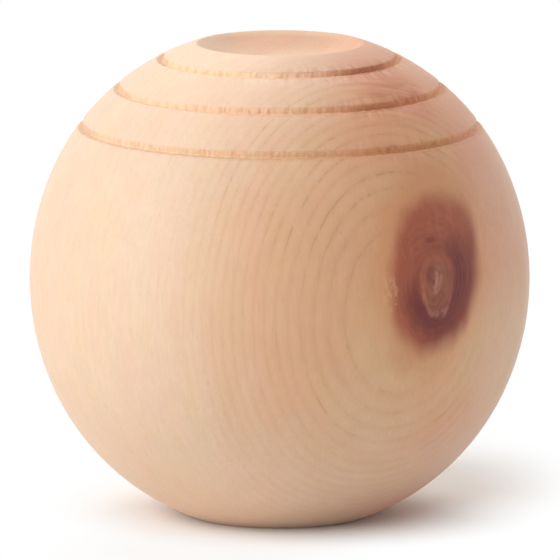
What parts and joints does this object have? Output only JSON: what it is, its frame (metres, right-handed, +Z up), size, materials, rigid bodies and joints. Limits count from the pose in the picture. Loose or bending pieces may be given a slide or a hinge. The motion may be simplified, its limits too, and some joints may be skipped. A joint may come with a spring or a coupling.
{
  "type": "wooden ball",
  "caption": "Turned stone-pine ball that stands on a small flat, with V grooves round its upper half and a shallow dish on top for drops of scented oil.",
  "frame": {"origin": "centre of the flat that the ball stands on", "axes": "+Z up along the turning axis, out of the dish; -Y is the side that faces the viewer, with the knot on its right"},
  "size_m": [0.08, 0.08, 0.076],
  "materials": {
    "stone_pine": "raw stone pine, fine turned and sanded, matt, with growth rings, resin dashes and one knot"
  },
  "bodies": {
    "root": {"ball": "stone_pine"}
  },
  "joints": []
}
